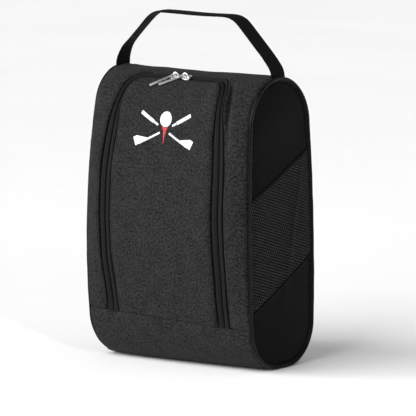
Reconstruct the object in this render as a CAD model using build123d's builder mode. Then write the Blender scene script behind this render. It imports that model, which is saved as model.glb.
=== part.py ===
from build123d import *
from math import atan2, cos, radians, sin, sqrt, tan
import os

# Golf shoe bag, stood upright. +Z is up, the zipped front faces -Y, and +X is to the right
# as the front is looked at. The origin is the middle of the flat strip of base that the
# bag rests on. All sizes are in millimetres.
os.makedirs("parts", exist_ok=True)

# ---- Bag body -----------------------------------------------------------------------
body_width = 220.0          # over the two piped seams
body_depth = 141.0          # front to back at the belly of the padded wrap
body_height = 321.5         # floor to the top of the wrap, without the handle
top_radius = 62.0           # round over the top, side view
bottom_radius = 45.0        # round under the front and the back
belly_height = 165.0        # level where the wrap is deepest
crown = 9.0                 # how far the padded wrap stands proud of its piped seams
top_crown = 1.5             # the same, over the top
end_top_radius = 56.0       # the piped end seams have rounds and a belly of their own
end_bottom_radius = 50.0
end_belly_height = 130.0
wrap_thickness = 3.0        # outer cloth, foam and lining, sewn as one
side_thickness = 2.4        # smooth side cloth with its backing
side_set_in = 0.4           # its inner face sits this far in from the wrap's edge
mesh_thickness = 1.2        # open spacer mesh

# ---- Piped seams ----------------------------------------------------------------------
piping_diameter = 3.5
piping_core_diameter = 2.0
piping_floor_gap = 0.25     # the piping stands this far off the floor
seam_gap = 0.05             # cloth to piping, sewn hard together
binding_thickness = 2.5     # bound seam allowance, flat against the side
binding_reach = 4.5         # how far the binding runs in past the side cloth's edge

# ---- Side panels ----------------------------------------------------------------------
mesh_top_height = 212.0     # upper edge of the mesh at mid depth
mesh_top_slope = 24.0       # degrees, rising to the back
mesh_bottom_height = 93.0
mesh_bottom_slope = 26.5

# ---- Wrap seams -----------------------------------------------------------------------
base_seam_height = 52.0     # where the front flap and the back meet the base panel
flap_gap = 0.3              # flap to base panel, along the hinge line
back_seam_angle = 38.0      # from vertical, behind the top, seam of header and back

# ---- U-shaped zip ---------------------------------------------------------------------
zip_half_width = 75.5       # middle of the bag to the line where the coils meet
zip_top_angle = 26.0        # from vertical, where the straight top run crosses the round
zip_corner_radius = 30.0
zip_half_opening = 6.8      # coil line to the cloth edge on either side
coil_half_gap = 0.6
coil_width = 2.6
coil_height = 1.8
tape_width = 12.0           # each side, from the coil out under the cloth
tape_thickness = 0.8
tape_end_gap = 1.0          # tape and coil stop this far above the base seam

# ---- Sliders and pulls ----------------------------------------------------------------
slider_meeting_x = -5.0     # the sliders meet here when the bag is shut
slider_spacing = 13.0
slider_length = 11.0
slider_width = 9.5
slider_nose_width = 5.0
slider_sink = 0.6           # top face of the slider below the cloth's face
slider_plate = 1.6
slider_web_length = 5.0
slider_web_thickness = 0.7
slider_back_plate = 1.2
slider_coil_clearance = 0.6
slider_round = 0.4
slider_corner = 1.0
slider_back_reach = 4.0     # back plate, from the coil line in behind the flap's coil
bail_radius = 3.0           # middle of the wire
bail_wire = 1.6
bail_axis_rise = 1.9        # centre of the bail's arch above the slider's top face
pull_length = 29.0          # eye centre to tip
pull_thickness = 1.2
pull_eye_radius = 3.4
pull_hole_radius = 1.9
pull_neck_width = 2.4
pull_tip_width = 3.4
left_pull_droop = 49.0      # degrees down the front from straight along the zip
right_pull_droop = 42.0
left_pull_tilt = 4.0        # degrees in toward the cloth
right_pull_tilt = 3.0

# ---- Handle ---------------------------------------------------------------------------
webbing_width = 25.0
webbing_thickness = 2.0
handle_rise = 61.0          # top of the wrap to the middle of the webbing at its top
handle_corner_x = 49.0      # where leg and top would meet, unrounded
handle_corner_radius = 28.0
handle_clearance = 0.6      # moving webbing to the sewn-in tail below it
anchor_depth = 26.0         # tail sewn down inside the seam, below the top of the wrap
anchor_stand = 1.7          # tail stands this far out of the seam
anchor_slot_clearance = 0.1

# ---- Small pieces ---------------------------------------------------------------------
stiffener_thickness = 1.6
stiffener_half_depth = 30.0
stiffener_end_gap = 6.0
label_width = 28.0
label_height = 16.0
label_thickness = 0.5
label_height_z = 250.0      # middle of the label
label_back_y = 34.0
emblem_thickness = 0.7
emblem_height = 262.0       # middle of the mark
emblem_gap = 0.8            # bare cloth between the tee or ball and the clubs
ball_radius = 8.5
ball_rise = 9.5             # middle of the mark to the middle of the ball
tee_height = 18.0
tee_cup_width = 10.0
tee_stem_width = 4.0
tee_cup_height = 4.0
club_length = 80.0
club_lean = 64.0            # degrees from upright
club_shaft_width = 2.6
club_grip_width = 4.2
club_grip_length = 22.0
club_head_length = 13.0
club_head_width = 9.5
club_head_toe = 5.0
club_drop = 2.0             # middle of the mark down to where the clubs cross

# ---- Worked-out places ------------------------------------------------------------------
half_width = body_width / 2
half_depth = body_depth / 2
piping_radius = piping_diameter / 2
piping_x = half_width - piping_radius
wrap_half_width = piping_x - piping_radius - seam_gap
side_inner_x = wrap_half_width - side_set_in
wrap_shape = (half_depth, body_height, top_radius, belly_height, bottom_radius)
end_shape = (
    half_depth - crown,
    body_height - top_crown,
    end_top_radius,
    end_belly_height,
    end_bottom_radius,
)
piping_inset = piping_radius + piping_floor_gap
side_inset = piping_inset + piping_radius
binding_inner_x = side_inner_x - binding_thickness
top_centre_z = body_height - top_radius
tape_inset = wrap_thickness
coil_inset = wrap_thickness + tape_thickness


def outline_points(shape, inset):
    """Ends and middles of the arcs of the front half, from the top down to the base."""
    depth, height, round_top, belly, round_base = shape
    round_centre = height - round_top
    rise = round_centre - belly
    radius = (depth**2 + rise**2 - round_top**2) / (2 * (depth - round_top))
    centre_y = radius - depth
    base_y = sqrt((radius - round_base) ** 2 - (belly - round_base) ** 2) - centre_y
    top_turn = atan2(centre_y, rise)
    base_turn = atan2(belly - round_base, base_y + centre_y)
    quarter = radians(90)

    def on_top(turn):
        reach = round_top - inset
        return (-reach * sin(turn), round_centre + reach * cos(turn))

    def on_belly(turn):
        reach = radius - inset
        return (centre_y - reach * cos(turn), belly + reach * sin(turn))

    def on_base(turn):
        reach = round_base - inset
        return (-base_y - reach * cos(turn), round_base - reach * sin(turn))

    return [
        on_top(0),
        on_top(top_turn / 2),
        on_top(top_turn),
        on_belly((quarter - top_turn - base_turn) / 2),
        on_belly(-base_turn),
        on_base((base_turn + quarter) / 2),
        on_base(quarter),
    ]


def outline_edges(points):
    """Draw the closed side outline, front and back alike, in the current line builder."""
    top, top_mid, shoulder, belly, hip, base_mid, toe = points
    back = [(-y, z) for y, z in points]
    ThreePointArc(top, top_mid, shoulder)
    ThreePointArc(shoulder, belly, hip)
    ThreePointArc(hip, base_mid, toe)
    Line(toe, back[6])
    ThreePointArc(back[6], back[5], back[4])
    ThreePointArc(back[4], back[3], back[2])
    ThreePointArc(back[2], back[1], top)


def wrap_outline(x, inset):
    """Side view of the padded wrap at x, shrunk by inset."""
    with BuildSketch(Plane.YZ.offset(x)) as outline:
        with BuildLine():
            outline_edges(outline_points(wrap_shape, inset))
        make_face()
    return outline.sketch


def end_outline(x, inset):
    """Side view of the piped end seam at x, shrunk by inset."""
    with BuildSketch(Plane.YZ.offset(x)) as outline:
        with BuildLine():
            outline_edges(outline_points(end_shape, inset))
        make_face()
    return outline.sketch


def wrap_layer(x_half, outer_inset, inner_inset):
    """A skin of the wrap between two insets, from -x_half to +x_half."""
    with BuildPart() as layer:
        extrude(wrap_outline(-x_half, outer_inset), amount=2 * x_half)
        extrude(wrap_outline(-x_half, inner_inset), amount=2 * x_half, mode=Mode.SUBTRACT)
    return layer.part


# The top run of the zip has its own plane: x along the run, y up over the top, z out of
# the cloth. Everything on the zip's top run is placed from it.
top_run_turn = radians(zip_top_angle)
zip_plane = Plane(
    origin=(0, -top_radius * sin(top_run_turn), top_centre_z + top_radius * cos(top_run_turn)),
    x_dir=(1, 0, 0),
    z_dir=(0, -sin(top_run_turn), cos(top_run_turn)),
)
prism_depth = body_height
prism_stand = 20.0


def zip_prism(offset):
    """The U of the zip line, moved out by offset, as a prism through the front."""
    half = zip_half_width + offset
    corner = zip_corner_radius + offset
    with BuildPart() as prism:
        with BuildSketch(zip_plane.offset(-prism_depth)):
            with BuildLine():
                Line((-half, -body_height), (half, -body_height))
                Line((half, -body_height), (half, offset - corner))
                RadiusArc((half, offset - corner), (half - corner, offset), -corner)
                Line((half - corner, offset), (corner - half, offset))
                RadiusArc((corner - half, offset), (-half, offset - corner), -corner)
                Line((-half, offset - corner), (-half, -body_height))
            make_face()
        extrude(amount=prism_depth + prism_stand)
        split(bisect_by=Plane.XZ, keep=Keep.TOP)
    return prism.part


def back_block():
    """Everything behind the seam between the header and the back panel."""
    reach = body_height
    turn = radians(back_seam_angle)
    with BuildPart() as block:
        with BuildSketch(Plane.YZ.offset(-half_width)):
            with BuildLine():
                Polyline(
                    (0, top_centre_z),
                    (reach * sin(turn), top_centre_z + reach * cos(turn)),
                    (reach, base_seam_height),
                    (0, base_seam_height),
                    close=True,
                )
            make_face()
        extrude(amount=body_width)
    return block.part


def save(piece, name):
    """Label a finished piece and write it as one STEP file."""
    piece.part.label = name
    export_step(piece.part, f"parts/{name}.step")


# ---- Padded wrap ------------------------------------------------------------------------
anchor_top = body_height + anchor_stand
anchor_outer_x = side_inner_x
anchor_inner_x = anchor_outer_x - webbing_thickness
slot_inner_x = anchor_inner_x - anchor_slot_clearance
slot_half_width = webbing_width / 2 + anchor_slot_clearance
slot_height = body_height - anchor_depth - anchor_slot_clearance

with BuildPart() as webbing_slots:
    with BuildSketch(Plane.XY.offset(slot_height)):
        for direction in (-1, 1):
            with Locations((direction * (slot_inner_x + half_width) / 2, 0)):
                Rectangle(half_width - slot_inner_x, 2 * slot_half_width)
    extrude(amount=anchor_depth + 2 * anchor_stand)

outer_skin = wrap_layer(wrap_half_width, 0, wrap_thickness)
behind = back_block()

with BuildPart() as front_frame_panel:
    add(outer_skin)
    split(bisect_by=Plane.XY.offset(base_seam_height), keep=Keep.TOP)
    add(behind, mode=Mode.SUBTRACT)
    add(zip_prism(zip_half_opening), mode=Mode.SUBTRACT)
    add(webbing_slots.part, mode=Mode.SUBTRACT)
save(front_frame_panel, "front_frame_panel")

with BuildPart() as back_panel:
    add(outer_skin)
    add(behind, mode=Mode.INTERSECT)
save(back_panel, "back_panel")

with BuildPart() as base_panel:
    add(outer_skin)
    split(bisect_by=Plane.XY.offset(base_seam_height), keep=Keep.BOTTOM)
save(base_panel, "base_panel")

with BuildPart() as flap_panel:
    add(outer_skin)
    add(zip_prism(-zip_half_opening), mode=Mode.INTERSECT)
    split(bisect_by=Plane.XY.offset(base_seam_height + flap_gap), keep=Keep.TOP)
save(flap_panel, "flap_panel")

# ---- Zip tapes and coils ------------------------------------------------------------------
tape_skin = wrap_layer(wrap_half_width, tape_inset, tape_inset + tape_thickness)
coil_skin = wrap_layer(wrap_half_width, coil_inset, coil_inset + coil_height)
tape_foot = Plane.XY.offset(base_seam_height + tape_end_gap)
far_edge = coil_half_gap + tape_width
coil_edge = coil_half_gap + coil_width

zip_rows = [
    ("zip_tape_frame", tape_skin, far_edge, coil_half_gap),
    ("zip_tape_flap", tape_skin, -coil_half_gap, -far_edge),
    ("zip_coil_frame", coil_skin, coil_edge, coil_half_gap),
    ("zip_coil_flap", coil_skin, -coil_half_gap, -coil_edge),
]
for name, skin, outside, inside in zip_rows:
    with BuildPart() as zip_row:
        add(skin)
        add(zip_prism(outside), mode=Mode.INTERSECT)
        add(zip_prism(inside), mode=Mode.SUBTRACT)
        split(bisect_by=tape_foot, keep=Keep.TOP)
    save(zip_row, name)

# ---- Side panels, piping and bindings -------------------------------------------------------
cut_reach = body_depth


def side_cut_line(height, slope, y):
    """Height of a slanting side seam at depth y."""
    return height + y * tan(radians(slope))


def side_band(x_low, thickness, lower, upper):
    """Prism of the side between two slanting seams, or open-ended where one is None."""
    low = [(-cut_reach, -cut_reach), (cut_reach, -cut_reach)]
    high = [(-cut_reach, body_height + cut_reach), (cut_reach, body_height + cut_reach)]
    if lower:
        low = [(y, side_cut_line(*lower, y)) for y in (-cut_reach, cut_reach)]
    if upper:
        high = [(y, side_cut_line(*upper, y)) for y in (-cut_reach, cut_reach)]
    with BuildPart() as band:
        with BuildSketch(Plane.YZ.offset(x_low)):
            with BuildLine():
                Polyline(low[0], low[1], high[1], high[0], close=True)
            make_face()
        extrude(amount=thickness)
    return band.part


mesh_top = (mesh_top_height, mesh_top_slope)
mesh_bottom = (mesh_bottom_height, mesh_bottom_slope)
side_middle_x = side_inner_x + side_thickness / 2
side_pieces = [
    ("side_upper", side_thickness, mesh_top, None),
    ("side_mesh", mesh_thickness, mesh_bottom, mesh_top),
    ("side_lower", side_thickness, None, mesh_bottom),
]

for hand, direction in (("left", -1), ("right", 1)):
    for name, thickness, lower, upper in side_pieces:
        x_low = direction * side_middle_x - thickness / 2
        with BuildPart() as side_panel:
            extrude(end_outline(x_low, side_inset), amount=thickness)
            add(side_band(x_low, thickness, lower, upper), mode=Mode.INTERSECT)
        save(side_panel, f"{name}_{hand}")

    ring_points = outline_points(end_shape, piping_inset)
    with BuildPart() as piping:
        with BuildLine(Plane.YZ.offset(direction * piping_x)) as ring:
            outline_edges(ring_points)
        with BuildSketch(Plane(origin=ring.line @ 0, z_dir=ring.line % 0)):
            Circle(piping_radius)
            Circle(piping_core_diameter / 2, mode=Mode.SUBTRACT)
        sweep()
    save(piping, f"piping_{hand}")

    with BuildPart() as piping_core:
        with BuildLine(Plane.YZ.offset(direction * piping_x)) as ring:
            outline_edges(ring_points)
        with BuildSketch(Plane(origin=ring.line @ 0, z_dir=ring.line % 0)):
            Circle(piping_core_diameter / 2)
        sweep()
    save(piping_core, f"piping_core_{hand}")

    binding_low = min(direction * binding_inner_x, direction * side_inner_x)
    with BuildPart() as seam_binding:
        extrude(wrap_outline(binding_low, wrap_thickness), amount=binding_thickness)
        extrude(
            end_outline(binding_low, side_inset + binding_reach),
            amount=binding_thickness,
            mode=Mode.SUBTRACT,
        )
        add(webbing_slots.part, mode=Mode.SUBTRACT)
    save(seam_binding, f"seam_binding_{hand}")

    with BuildPart() as handle_anchor:
        with BuildSketch(Plane.XY.offset(anchor_top - anchor_depth - anchor_stand)):
            with Locations((direction * (anchor_inner_x + anchor_outer_x) / 2, 0)):
                Rectangle(webbing_thickness, webbing_width)
        extrude(amount=anchor_depth + anchor_stand)
    save(handle_anchor, f"handle_anchor_{hand}")

# ---- Sliders, bails and pulls -----------------------------------------------------------------
plate_top = -slider_sink
plate_bottom = plate_top - slider_plate
back_top = -(coil_inset + coil_height + slider_coil_clearance)
bail_axis_n = plate_top + bail_axis_rise
sliders = [
    ("left", slider_meeting_x - slider_spacing / 2, 1, left_pull_droop, left_pull_tilt),
    ("right", slider_meeting_x + slider_spacing / 2, -1, right_pull_droop, right_pull_tilt),
]


for hand, middle, nose, droop, tilt in sliders:
    middle_point = zip_plane.from_local_coords((middle, 0, 0))
    here = Plane(origin=middle_point, x_dir=zip_plane.x_dir, z_dir=zip_plane.z_dir)

    # Top plate, the web that runs between the coils, and the plate behind the flap's coil.
    # Nothing of the slider reaches behind the frame's coil, so it leaves with the flap.
    with BuildPart() as slider:
        with BuildSketch(here.offset(plate_bottom)):
            with BuildLine():
                Polyline(
                    (-nose * slider_length / 2, -slider_width / 2),
                    (0, -slider_width / 2),
                    (nose * slider_length / 2, -slider_nose_width / 2),
                    (nose * slider_length / 2, slider_nose_width / 2),
                    (0, slider_width / 2),
                    (-nose * slider_length / 2, slider_width / 2),
                    close=True,
                )
            make_face()
        extrude(amount=slider_plate)
        fillet(slider.edges().filter_by(Axis(middle_point, here.z_dir)), slider_corner)
        fillet(slider.faces().sort_by(Axis(middle_point, here.z_dir))[-1].edges(), slider_round)
        with BuildSketch(here.offset(back_top)):
            Rectangle(slider_web_length, slider_web_thickness)
        extrude(amount=plate_bottom - back_top)
        with BuildSketch(here.offset(back_top - slider_back_plate)):
            with Locations((0, (slider_web_thickness / 2 - slider_back_reach) / 2)):
                Rectangle(slider_length, slider_back_reach + slider_web_thickness / 2)
        extrude(amount=slider_back_plate)
    save(slider, f"slider_{hand}")

    # The bail is one bent wire: two upright legs and a half round that carries the pull.
    across = Plane(origin=middle_point, x_dir=here.x_dir, z_dir=-here.y_dir)
    with BuildPart() as bail:
        with BuildLine(across) as wire:
            Line((-bail_radius, plate_top), (-bail_radius, bail_axis_n))
            RadiusArc((-bail_radius, bail_axis_n), (bail_radius, bail_axis_n), bail_radius)
            Line((bail_radius, bail_axis_n), (bail_radius, plate_top))
        with BuildSketch(Plane(origin=wire.line @ 0, z_dir=wire.line % 0)):
            Circle(bail_wire / 2)
        sweep()
    save(bail, f"slider_bail_{hand}")

    # The pull's eye rides on the bail's wire, so its centre lies on the arch's circle.
    tilted = Plane(
        origin=zip_plane.from_local_coords((middle, 0, bail_axis_n)),
        x_dir=here.x_dir * cos(radians(tilt)) + here.z_dir * sin(radians(tilt)),
        z_dir=here.z_dir * cos(radians(tilt)) - here.x_dir * sin(radians(tilt)),
    )
    eye = tilted.from_local_coords((-bail_radius, 0, 0))
    along = tilted.x_dir * -cos(radians(droop)) - tilted.y_dir * sin(radians(droop))
    pull_plane = Plane(origin=eye, x_dir=along, z_dir=tilted.z_dir)
    with BuildPart() as pull:
        with BuildSketch(pull_plane.offset(-pull_thickness / 2)):
            Circle(pull_eye_radius)
            with BuildLine():
                Polyline(
                    (0, -pull_neck_width / 2),
                    (pull_length - pull_tip_width / 2, -pull_tip_width / 2),
                    (pull_length - pull_tip_width / 2, pull_tip_width / 2),
                    (0, pull_neck_width / 2),
                    close=True,
                )
            make_face()
            with Locations((pull_length - pull_tip_width / 2, 0)):
                Circle(pull_tip_width / 2)
            Circle(pull_hole_radius, mode=Mode.SUBTRACT)
        extrude(amount=pull_thickness)
    save(pull, f"pull_{hand}")

# ---- Handle ---------------------------------------------------------------------------------------
pivot_z = anchor_top + handle_clearance + webbing_width / 2
handle_top = body_height + handle_rise
handle_foot_x = (anchor_inner_x + anchor_outer_x) / 2
foot_z = pivot_z - webbing_width / 2

with BuildPart() as handle_strap:
    with BuildSketch(Plane.XZ.offset(-webbing_width / 2)):
        with BuildLine() as middle_line:
            FilletPolyline(
                (-handle_foot_x, foot_z),
                (-handle_corner_x, handle_top),
                (handle_corner_x, handle_top),
                (handle_foot_x, foot_z),
                radius=handle_corner_radius,
            )
        trace(line_width=webbing_thickness)
    extrude(amount=webbing_width)
    with BuildSketch(Plane.YZ.offset(-body_width)):
        with Locations((0, pivot_z)):
            Circle(webbing_width / 2)
        with Locations((0, pivot_z + body_height / 2)):
            Rectangle(webbing_width, body_height)
    extrude(amount=2 * body_width, mode=Mode.INTERSECT)
save(handle_strap, "handle_strap")

# ---- Stiffener and label -----------------------------------------------------------------------------
stiffener_half_width = binding_inner_x - stiffener_end_gap

with BuildPart() as base_stiffener:
    add(wrap_layer(stiffener_half_width, wrap_thickness, wrap_thickness + stiffener_thickness))
    split(bisect_by=Plane.XY.offset(belly_height), keep=Keep.BOTTOM)
    with BuildSketch(Plane.XY):
        Rectangle(body_width, 2 * stiffener_half_depth)
    extrude(amount=belly_height, mode=Mode.INTERSECT)
save(base_stiffener, "base_stiffener")

with BuildPart() as care_label:
    with BuildSketch(Plane.YZ.offset(-binding_inner_x)):
        with Locations((label_back_y, label_height_z)):
            Rectangle(label_width, label_height)
    extrude(amount=label_thickness)
save(care_label, "care_label")

# ---- Stitched mark on the flap ---------------------------------------------------------------
# A ball on a tee in front of two crossed clubs, laid on the cloth's outer face.
mark_skin = wrap_layer(wrap_half_width, -emblem_thickness, 0)
ball_z = emblem_height + ball_rise
tee_top = ball_z - ball_radius
club_z = emblem_height - club_drop

with BuildPart() as emblem_ball:
    with BuildSketch(Plane.XZ):
        with Locations((0, ball_z)):
            Circle(ball_radius)
    extrude(amount=body_depth)
    add(mark_skin, mode=Mode.INTERSECT)
save(emblem_ball, "emblem_ball")

with BuildSketch(Plane.XZ) as tee_outline:
    with BuildLine():
        Polyline(
            (-tee_cup_width / 2, tee_top - emblem_gap / 2),
            (tee_cup_width / 2, tee_top - emblem_gap / 2),
            (tee_stem_width / 2, tee_top - tee_cup_height),
            (0, tee_top - tee_height),
            (-tee_stem_width / 2, tee_top - tee_cup_height),
            close=True,
        )
    make_face()
    with Locations((0, ball_z)):
        Circle(ball_radius + emblem_gap / 2, mode=Mode.SUBTRACT)

with BuildPart() as emblem_tee:
    extrude(tee_outline.sketch, amount=body_depth)
    add(mark_skin, mode=Mode.INTERSECT)
save(emblem_tee, "emblem_tee")

with BuildSketch() as club:
    Rectangle(club_shaft_width, club_length)
    with Locations((0, (club_length - club_grip_length) / 2)):
        Rectangle(club_grip_width, club_grip_length)
    with BuildLine():
        Polyline(
            (-club_shaft_width / 2, club_head_length - club_length / 2),
            (club_head_width, (club_head_toe - club_length) / 2),
            (club_head_width, -(club_head_toe + club_length) / 2),
            (-club_shaft_width / 2, -(club_head_toe + club_length) / 2),
            close=True,
        )
    make_face()

with BuildPart() as emblem_clubs:
    with BuildSketch(Plane.XZ) as crossed:
        with Locations(Location((0, club_z), -club_lean)):
            add(club.sketch)
        mirror(about=Plane.YZ)
        with Locations((0, ball_z)):
            Circle(ball_radius + emblem_gap, mode=Mode.SUBTRACT)
        add(offset(tee_outline.sketch, amount=emblem_gap, mode=Mode.PRIVATE), mode=Mode.SUBTRACT)
    extrude(amount=body_depth)
    add(mark_skin, mode=Mode.INTERSECT)
save(emblem_clubs, "emblem_clubs")
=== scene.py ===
from math import cos, pi, radians, sin, tan

import bmesh
import bpy
import numpy as np
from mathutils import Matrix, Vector


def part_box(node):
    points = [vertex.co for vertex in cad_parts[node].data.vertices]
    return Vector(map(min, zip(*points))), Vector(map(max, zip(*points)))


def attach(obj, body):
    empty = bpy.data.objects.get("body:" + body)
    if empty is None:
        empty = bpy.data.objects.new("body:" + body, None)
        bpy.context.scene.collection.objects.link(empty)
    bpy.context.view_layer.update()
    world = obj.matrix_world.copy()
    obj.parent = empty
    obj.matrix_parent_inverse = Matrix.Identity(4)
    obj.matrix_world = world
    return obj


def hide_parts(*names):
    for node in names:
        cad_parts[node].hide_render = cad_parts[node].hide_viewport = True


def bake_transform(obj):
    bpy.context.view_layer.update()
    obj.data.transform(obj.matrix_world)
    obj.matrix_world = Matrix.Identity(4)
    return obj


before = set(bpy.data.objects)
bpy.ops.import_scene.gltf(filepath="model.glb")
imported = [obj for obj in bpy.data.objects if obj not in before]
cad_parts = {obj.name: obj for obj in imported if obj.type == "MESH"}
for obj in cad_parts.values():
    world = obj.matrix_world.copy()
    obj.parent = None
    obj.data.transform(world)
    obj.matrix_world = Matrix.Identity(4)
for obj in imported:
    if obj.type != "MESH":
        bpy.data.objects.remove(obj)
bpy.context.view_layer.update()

# Lengths in this script are millimetres, turned into Blender's metres where a mesh is made.
MM = 0.001


def coords(*parts):
    """Points from their separate coordinates."""
    return np.stack(parts, -1)


def low_high(node):
    """Lowest and highest corner of a CAD node, in millimetres."""
    low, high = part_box(node)
    return np.array(low) / MM, np.array(high) / MM


# ---- Sizes read from the frame ----
_, back_high = low_high("back_panel")
_, base_high = low_high("base_panel")
_, header_high = low_high("front_frame_panel")
_, flap_high = low_high("flap_panel")
piping_low, piping_high = low_high("piping_right")
strap_low, strap_high = low_high("handle_strap")
anchor_low, anchor_high = low_high("handle_anchor_right")
binding_low, binding_high = low_high("seam_binding_right")

WRAP_HALF_X = base_high[0]
WRAP_DEPTH = back_high[1]
WRAP_TOP = header_high[2]
SEAM_Z = base_high[2]
PIPE_R = (piping_high[0] - piping_low[0]) / 2
PIPE_X = (piping_high[0] + piping_low[0]) / 2
PIPE_GAP = piping_low[2]
END_DEPTH = piping_high[1] + PIPE_GAP
END_TOP = piping_high[2] + PIPE_GAP

# ---- Sizes that the frame's boxes don't say ----
WAY = {"left": -1, "right": 1}
TOP_ROUND, BASE_ROUND, BELLY_Z = 62.0, 45.0, 165.0
END_BELLY_Z = 130.0
# Top and base round of each piped end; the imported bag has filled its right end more.
END_ROUNDS = {"left": (46.0, 57.0), "right": (56.0, 50.0)}
# How deep the cloth's edge lies below the outside of the piping, less than 0 where it covers it.
END_TUCK = {"left": -0.8, "right": 1.4}
END_LEAN, END_LEAN_Z = -0.026, 190.0
THICK = 3.0
BACK_SEAM_TURN = radians(38)
ZIP_TURN = radians(26)
ZIP_CORNER = 30.0
# Half of the gap that the cloth leaves for the zip, and where the zip's line runs.
ZIP_OPEN = 5.2
ZIP_HALF = flap_high[0] + 6.8
ZIP_FLAT = ZIP_HALF - ZIP_CORNER
ROLL_START = 84.0

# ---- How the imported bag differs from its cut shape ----
GAPE = 3.0
GAPE_FROM = 2.5
BOW_TOP, BOW_CORNER, BOW_FOOT = 0.058, 0.052, 0.03
ASKEW = 0.047
ASKEW_LEFT, ASKEW_RIGHT = -72, 100
BELLY, BELLY_S, BELLY_REACH = 6.2, 192, 88
SHOULDER_RIGHT, SHOULDER_LEFT, SHOULDER_X, SHOULDER_S = 4.6, 1.6, 66, 42
SLACK = 2.4


class SideShape:
    """Side view of the bag as joined arcs, read by length s from the top towards the front."""

    def __init__(self, depth, height, top, belly, base):
        self.top, self.belly, self.base = top, belly, base
        self.top_z = height - top
        rise = self.top_z - belly
        self.r = (depth**2 + rise**2 - top**2) / (2 * (depth - top))
        self.cy = self.r - depth
        self.flat = np.sqrt((self.r - base) ** 2 - (belly - base) ** 2) - self.cy
        self.top_turn = np.arctan2(self.cy, rise)
        self.base_turn = np.arctan2(belly - base, self.flat + self.cy)
        self.l1 = top * self.top_turn
        self.l2 = self.l1 + self.r * (pi / 2 - self.top_turn + self.base_turn)
        self.l3 = self.l2 + base * (pi / 2 - self.base_turn)
        self.half = self.l3 + self.flat

    def at(self, s, inset=0.0):
        """y, z and the outward normal's y, z. Beyond the middle of the base, s runs up the back."""
        s = np.asarray(s, float)
        s = np.where(s > self.half, s - 2 * self.half, s)
        side = np.where(s < 0, -1.0, 1.0)
        a = np.abs(s)
        t1 = a / self.top
        t2 = pi / 2 - self.top_turn - (a - self.l1) / self.r
        t3 = self.base_turn + (a - self.l2) / self.base
        arcs = [a < self.l1, a < self.l2, a < self.l3]
        ny = np.select(arcs, [-np.sin(t1), -np.cos(t2), -np.cos(t3)], 0.0)
        nz = np.select(arcs, [np.cos(t1), np.sin(t2), -np.sin(t3)], -1.0)
        cy = np.select(arcs, [0.0, self.cy, -self.flat], a - self.half)
        cz = np.select(arcs[:2], [self.top_z, self.belly], self.base)
        r = np.select(arcs[:2], [self.top, self.r], self.base) - inset
        return side * (cy + r * ny), cz + r * nz, side * ny, nz

    def length_at(self, z):
        """s on the front, above the base round, where the outline is at height z."""
        s = np.linspace(0, self.half, 4000)
        return float(np.interp(-z, -self.at(s)[1], s))


WRAP = SideShape(WRAP_DEPTH, WRAP_TOP, TOP_ROUND, BELLY_Z, BASE_ROUND)
ENDS = {
    hand: SideShape(END_DEPTH, END_TOP, top, END_BELLY_Z, base) for hand, (top, base) in END_ROUNDS.items()
}
S_ZIP = TOP_ROUND * ZIP_TURN
S_SEAM = WRAP.length_at(SEAM_Z)
S_BACK = -TOP_ROUND * BACK_SEAM_TURN


def waves(x, s, size, count, seed):
    """Smooth uneven ripples, about -1 to 1, with waves about size mm long."""
    draw = np.random.default_rng(seed)
    total = np.zeros(np.broadcast(x, s).shape)
    for _ in range(count):
        way = draw.uniform(0, pi)
        k = 2 * pi / (size * draw.uniform(0.6, 1.7))
        total += np.sin(k * (x * cos(way) + s * sin(way)) + draw.uniform(0, 2 * pi))
    return total / np.sqrt(count)


def near(distance, width):
    """1 at no distance, fading to 0 beyond about two widths."""
    return np.exp(-((distance / width) ** 2))


def roll(x):
    """0 over the middle of the wrap, 1 at the piped seam."""
    t = np.clip((np.abs(x) - ROLL_START) / (WRAP_HALF_X - ROLL_START), 0, 1)
    return 1 - np.sqrt(np.clip(1 - t**2.2, 0, 1))


def smooth(t):
    """Eased step from 0 at t = 0 to 1 at t = 1."""
    t = np.clip(t, 0, 1)
    return t * t * (3 - 2 * t)


def lean(x, z):
    """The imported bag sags: its right end leans a little to the front at the top."""
    return END_LEAN * (z - END_LEAN_Z) * smooth(x / PIPE_X)


def settle(x, s):
    """Where a point of the cut cloth comes to lie: the zip bows in at top and foot, gapes
    wider down the sides, and the base seam has been sewn a little askew."""
    side, a = np.sign(x), np.abs(x)
    front = smooth(s / 30)
    bow = BOW_TOP * smooth((150 - s) / 70) + BOW_CORNER * smooth((95 - s) / 50) * smooth(s / 60)
    bow = bow + BOW_FOOT * smooth((s - 235) / 60)
    zip_edge = ZIP_HALF + ZIP_OPEN
    fade = 1 - smooth((a - zip_edge) / (WRAP_HALF_X - zip_edge))
    d = a - ZIP_HALF
    gape = GAPE * smooth((s - S_ZIP - ZIP_CORNER - 4) / 45)
    spread = np.sign(d) * smooth((np.abs(d) - GAPE_FROM) / (ZIP_OPEN - GAPE_FROM))
    spread = spread * near(np.clip(np.abs(d) - ZIP_OPEN, 0, None), 16)
    keep = smooth(1 - (s - S_SEAM) / 40)
    moved = a - a * bow * fade * front * keep + gape * spread * keep
    skew = ASKEW * np.clip(x, ASKEW_LEFT, ASKEW_RIGHT)
    skew = skew * smooth((s - 120) / (S_SEAM - 120)) * (1 - smooth((s - S_SEAM) / 55))
    return side * moved, s + skew


def swell(x, s):
    """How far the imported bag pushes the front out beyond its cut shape."""
    middle = np.clip(1 - (np.abs(x) / 99) ** 6, 0, 1)
    belly = BELLY * near(s - BELLY_S, BELLY_REACH)
    right = SHOULDER_RIGHT * near(np.hypot(x - SHOULDER_X, s - SHOULDER_S), 34)
    left = SHOULDER_LEFT * near(np.hypot(x + SHOULDER_X, s - SHOULDER_S), 30)
    slack = SLACK * near(s + 6, 24)
    # The zip's straight top run stays level, so that the sliders run along it.
    level = near(s - S_ZIP, 16) * (1 - smooth((np.abs(x) - 42) / 14))
    return (belly + (right + left) * (1 - level) - slack) * middle


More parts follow.
